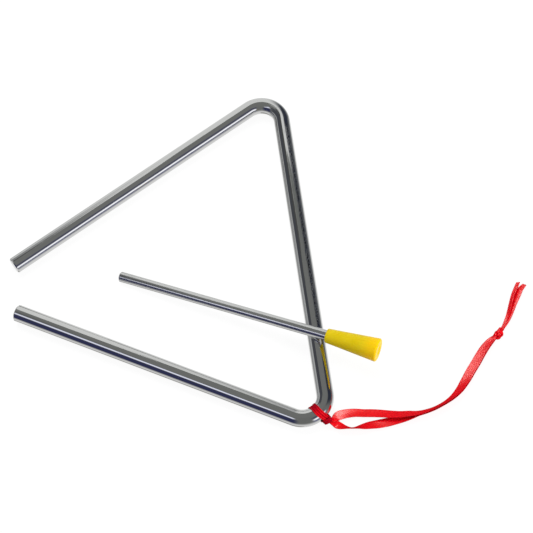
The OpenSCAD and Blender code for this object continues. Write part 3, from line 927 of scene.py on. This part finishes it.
def dress(piece, material):
    piece.data.materials.clear()
    piece.data.materials.append(material)


dress(barPiece, chromeFinish("bar chrome", chrome["barLines"], chrome["polish"]))
dress(rodPiece, chromeFinish("rod chrome", chrome["rodLines"], chrome["rodPolish"]))
dress(gripPiece, gripFinish())
ribbonFinish = satinFinish()
for piece in (farRibbon, nearRibbon, hitchPiece, knotPiece):
    dress(piece, ribbonFinish)
print("finishes given")


# Studio: a pale floor, a tent that only the metal and the grip see, and soft light.
# A lamp is its place, size and power.
studio = {
    "floorSize": 4.0,
    "floorAround": 64,
    "floorColour": 0.86,
    "floorLift": 0.86,       # share of its own glow in what the camera sees of the floor
    "floorGlow": 1.06,
    "tentRadius": 1.9,
    "tentAround": 48,
    "tentRings": 24,
    "tentHorizon": (-42, 2, 0, 1),
    "cardSideFade": 2.5,     # a card's sides fade over more degrees than its top
    "roomLight": 0.47,
    "mainLamp": ((-0.10, 0.48, 0.95), 0.6, 6.0),
    "fillLamp": ((0.85, -0.45, 0.36), 0.5, 6.0),
    "satinLamp": ((0.287, 0.640, 0.795), 0.24, 33),
    "satinSideLamp": ((-0.300, 0.845, 0.447), 0.42, 20),
    "satinTint": (1.0, 0.62, 0.58),
}
# What the metal and the grip see: ceiling and table, then cards by azimuth clockwise from +Y,
# elevation, half width, half height, soft edge and colour
tentTop = (0.190, 0.195, 0.190)
tentBelow = (0.88, 0.88, 0.88)
cards = [
    (0, 20, 30, 50, 6, (0.84, 0.85, 0.84)),
    (-62, 40, 30, 20, 8, (0.075, 0.080, 0.092)),
    (-62, -26, 30, 8, 8, (0.36, 0.37, 0.37)),
    (-62, 2, 26, 7, 7, (0.52, 0.53, 0.54)),
    (-32, 55, 10, 6, 5, (0.085, 0.087, 0.085)),
    (60, 24, 26, 20, 9, (0.036, 0.042, 0.062)),
    (60, -8, 26, 6, 10, (0.16, 0.17, 0.18)),
    (138, 42, 13, 5, 6, (0.085, 0.088, 0.15)),
    (138, -6, 13, 8, 5, (0.22, 0.23, 0.36)),
    (138, 16, 12, 7, 5, (1.34, 1.36, 1.46)),
    (-134, 12, 14, 20, 8, (0.040, 0.044, 0.110)),
    (-130, 48, 12, 4, 5, (1.05, 1.08, 1.28)),
    (-120, -70, 44, 12, 12, (0.40, 0.40, 0.38)),
]
# The ceiling hangs near, so each bar sees its edge at another height
ceiling = {
    "name": "near_ceiling",
    "z": 0.32,
    "fromX": -0.15, "toX": 0.21,
    "fromY": -0.15, "toY": 0.17,
    "colour": (0.205, 0.21, 0.205),
}
ceilingBack = {
    "name": "near_ceiling_back",
    "z": 0.32,
    "fromX": 0.0, "toX": 0.21,
    "fromY": 0.17, "toY": 0.24,
    "colour": (0.19, 0.20, 0.19),
}


# 1 where a ray looks at the surface itself, 0 where it only gathers light from it
def lightPathShare(nodes, links):
    path = nodes.new("ShaderNodeLightPath")
    share = addMath(nodes, links, "MAXIMUM", path.outputs["Is Camera Ray"], path.outputs["Is Glossy Ray"])
    return addMath(nodes, links, "MAXIMUM", share, path.outputs["Is Transmission Ray"])


def makeFloor():
    bpy.ops.mesh.primitive_circle_add(vertices=studio["floorAround"], radius=studio["floorSize"] / 2,
                                      fill_type="NGON")
    floor = bpy.context.object
    floor.name = "floor"
    material, nodes, links = newMaterial("floor paper")
    nodes.remove(nodes["Principled BSDF"])
    plain = nodes.new("ShaderNodeBsdfDiffuse")
    plain.inputs["Color"].default_value = (*[studio["floorColour"]] * 3, 1)
    glow = nodes.new("ShaderNodeEmission")
    glow.inputs["Strength"].default_value = studio["floorGlow"]
    mix = nodes.new("ShaderNodeMixShader")
    share = addMath(nodes, links, "MULTIPLY", lightPathShare(nodes, links), studio["floorLift"])
    links.new(share, mix.inputs["Fac"])
    links.new(plain.outputs["BSDF"], mix.inputs[1])
    links.new(glow.outputs["Emission"], mix.inputs[2])
    links.new(mix.outputs["Shader"], nodes["Material Output"].inputs["Surface"])
    dress(floor, material)
    floor.visible_glossy = False        # the tent's lower half stands for it in the metal


def lightOnly(lamp, pieces):
    group = bpy.data.collections.new(lamp.name + " pieces")
    for piece in pieces:
        group.objects.link(piece)
    lamp.light_linking.receiver_collection = group


def onlyForMetalAndGrip(piece):
    piece.visible_camera = piece.visible_diffuse = piece.visible_transmission = False
    piece.visible_volume_scatter = piece.visible_shadow = False
    lightOnly(piece, (barPiece, rodPiece, gripPiece))


def makeTent():
    bpy.ops.mesh.primitive_uv_sphere_add(segments=studio["tentAround"], ring_count=studio["tentRings"],
                                         radius=studio["tentRadius"])
    tent = bpy.context.object
    tent.name = "tent"
    bpy.ops.object.shade_smooth()
    material, nodes, links = newMaterial("tent cards")
    nodes.remove(nodes["Principled BSDF"])
    split = nodes.new("ShaderNodeSeparateXYZ")
    unit = nodes.new("ShaderNodeVectorMath")
    unit.operation = "NORMALIZE"
    links.new(nodes.new("ShaderNodeTexCoord").outputs["Object"], unit.inputs[0])
    links.new(unit.outputs["Vector"], split.inputs["Vector"])
    turn = addMath(nodes, links, "ARCTAN2", split.outputs["X"], split.outputs["Y"])
    rise = addMath(nodes, links, "ARCSINE", split.outputs["Z"])
    azimuth, elevation = (addMath(nodes, links, "MULTIPLY", value, 180 / math.pi) for value in (turn, rise))
    above = mapRange(nodes, links, elevation, *studio["tentHorizon"], True)
    colour = mixColours(nodes, links, above, tentBelow, tentTop)
    for middle, up, wide, high, soft, tone in cards:
        masks = []
        sideFade = soft * studio["cardSideFade"]
        for value, at, reach, fade in ((azimuth, middle, wide, sideFade), (elevation, up, high, soft)):
            away = awayFrom(nodes, links, value, at)
            masks.append(mapRange(nodes, links, away, reach + fade, reach, 0, 1, True))
        colour = mixColours(nodes, links, addMath(nodes, links, "MULTIPLY", *masks), colour, tone)
    glow = nodes.new("ShaderNodeEmission")
    links.new(colour, glow.inputs["Color"])
    links.new(glow.outputs["Emission"], nodes["Material Output"].inputs["Surface"])
    dress(tent, material)
    onlyForMetalAndGrip(tent)


def makeCeiling(c):
    middle = ((c["fromX"] + c["toX"]) / 2, (c["fromY"] + c["toY"]) / 2, c["z"])
    bpy.ops.mesh.primitive_plane_add(size=1, location=middle)
    piece = bpy.context.object
    piece.name = c["name"]
    piece.scale = (c["toX"] - c["fromX"], c["toY"] - c["fromY"], 1)
    bpy.ops.object.transform_apply(location=True, rotation=True, scale=True)
    material, nodes, links = newMaterial("near ceiling")
    nodes.remove(nodes["Principled BSDF"])
    glow = nodes.new("ShaderNodeEmission")
    glow.inputs["Color"].default_value = (*c["colour"], 1)
    links.new(glow.outputs["Emission"], nodes["Material Output"].inputs["Surface"])
    dress(piece, material)
    onlyForMetalAndGrip(piece)


def makeWorld():
    world = bpy.data.worlds.new("white room")
    scene.world = world
    world.use_nodes = True
    nodes, links = world.node_tree.nodes, world.node_tree.links
    background = nodes["Background"]
    background.inputs["Color"].default_value = (1, 1, 1, 1)
    share = lightPathShare(nodes, links)
    links.new(mapRange(nodes, links, share, 0, 1, studio["roomLight"], 1), background.inputs["Strength"])


# A lamp with pieces is the narrow gloss that only they return
def makeLamp(name, place, size, power, pieces=None):
    aim = (Vector(camera["target"]) - Vector(place)).to_track_quat("-Z", "Y")
    bpy.ops.object.light_add(type="AREA", location=place, rotation=aim.to_euler())
    lamp = bpy.context.object
    lamp.name = name
    lamp.data.size = size
    lamp.data.energy = power
    lamp.visible_glossy = bool(pieces)
    if pieces:
        lamp.visible_diffuse = False
        lamp.data.color = studio["satinTint"]
        lightOnly(lamp, pieces)


makeFloor()
makeTent()
makeCeiling(ceiling)
makeCeiling(ceilingBack)
makeWorld()
ribbonPieces = (farRibbon, nearRibbon, knotPiece)
makeLamp("main lamp", *studio["mainLamp"])
makeLamp("fill lamp", *studio["fillLamp"])
makeLamp("satin lamp", *studio["satinLamp"], ribbonPieces)
makeLamp("satin side lamp", *studio["satinSideLamp"], ribbonPieces)
print("studio lit")
